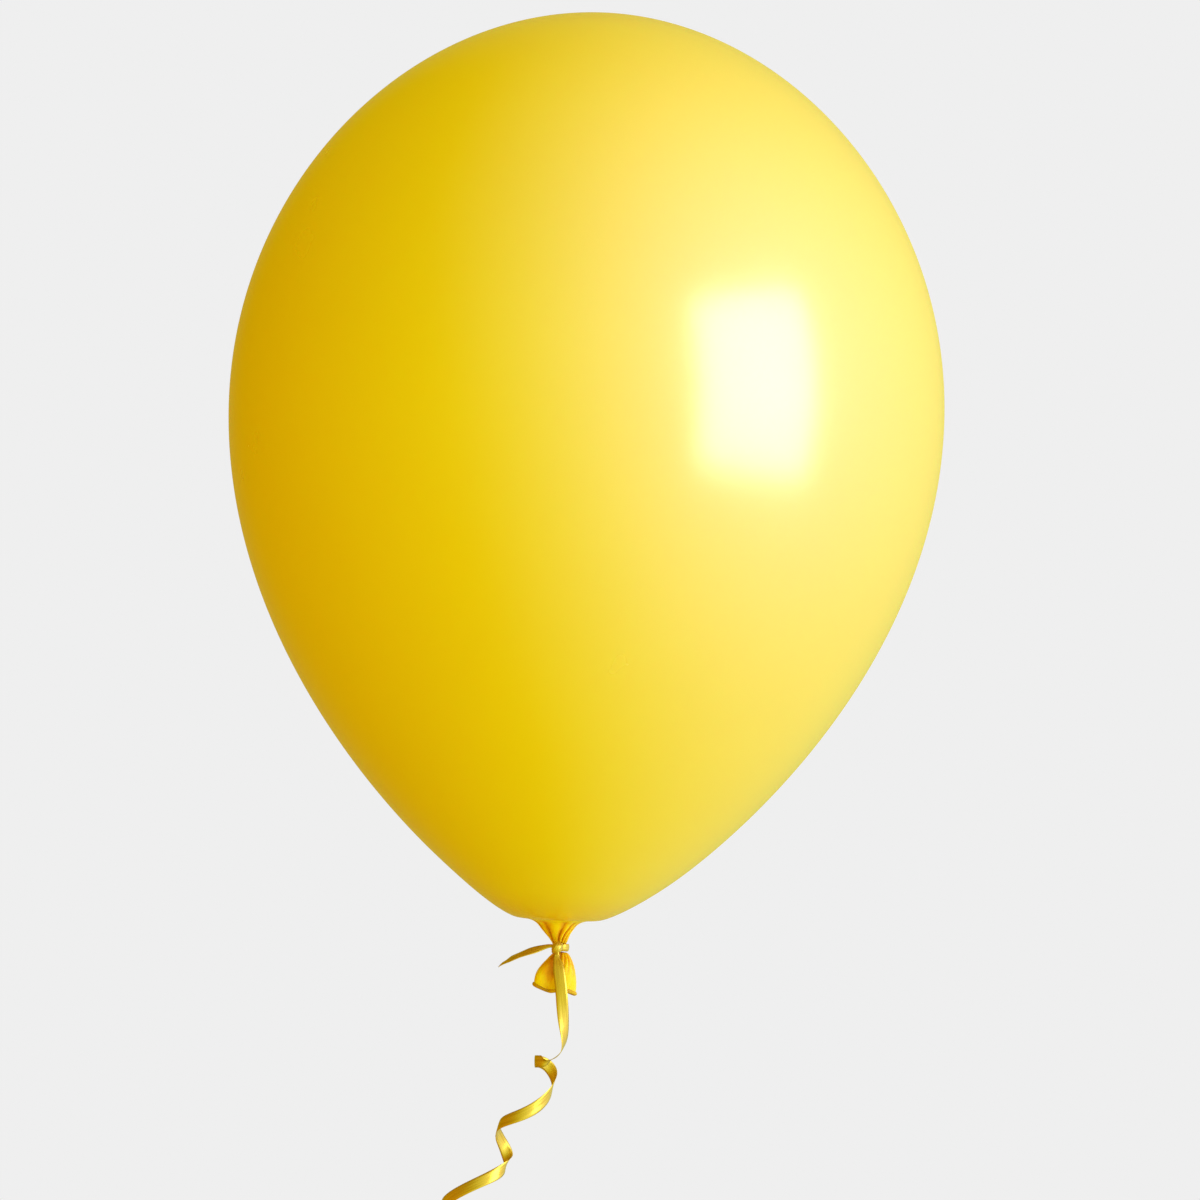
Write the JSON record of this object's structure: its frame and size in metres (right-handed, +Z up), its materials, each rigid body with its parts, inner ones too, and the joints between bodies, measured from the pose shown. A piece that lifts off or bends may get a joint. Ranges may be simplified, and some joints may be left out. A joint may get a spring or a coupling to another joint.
{
  "type": "latex balloon",
  "caption": "Inflated teardrop latex balloon, gathered and tied at its neck with a flat curling ribbon that hangs from the knot.",
  "frame": {"origin": "middle of the tie, on the axis of the gathered neck", "axes": "+Z up the balloon's axis to its crown, +X to the right seen from the front, -Y to the front, where the knot is"},
  "size_m": [0.28, 0.2798, 0.5935],
  "materials": {
    "latex": "glossy",
    "latex_neck": "glossy",
    "ribbon": "satin gloss"
  },
  "bodies": {
    "balloon": {"envelope": "latex", "neck": "latex_neck"},
    "tie": {"neck_gather": "latex_neck", "ribbon_wrap": "ribbon", "ribbon_knot": "ribbon"},
    "mouth": {"mouth_skirt": "latex_neck", "rim_bead": "latex_neck"},
    "short_end": {"ribbon_short_end": "ribbon"},
    "strand": {"ribbon_strand": "ribbon"},
    "curl": {"ribbon_curl": "ribbon"}
  },
  "joints": [
    {"name": "neck_bend", "type": "hinge", "parent": "balloon", "child": "tie", "pos_m": [0, 0, 0.0024], "axis": [0, 1, 0], "range_deg": [-25, 25]},
    {"name": "mouth_flop", "type": "hinge", "parent": "tie", "child": "mouth", "pos_m": [0, 0, -0.0042], "axis": [0, 1, 0], "range_deg": [-30, 30]},
    {"name": "short_end_bend", "type": "hinge", "parent": "tie", "child": "short_end", "pos_m": [-0.0015, -0.00585, -0.0006], "axis": [0, 1, 0], "range_deg": [-25, 20]},
    {"name": "ribbon_swing", "type": "hinge", "parent": "tie", "child": "strand", "pos_m": [-0.0015, -0.00585, -0.0006], "axis": [0, 1, 0], "range_deg": [-45, 45]},
    {"name": "curl_swing", "type": "hinge", "parent": "strand", "child": "curl", "pos_m": [0.004, -0.0104, -0.0363], "axis": [1, 0, 0], "range_deg": [-30, 30]}
  ]
}
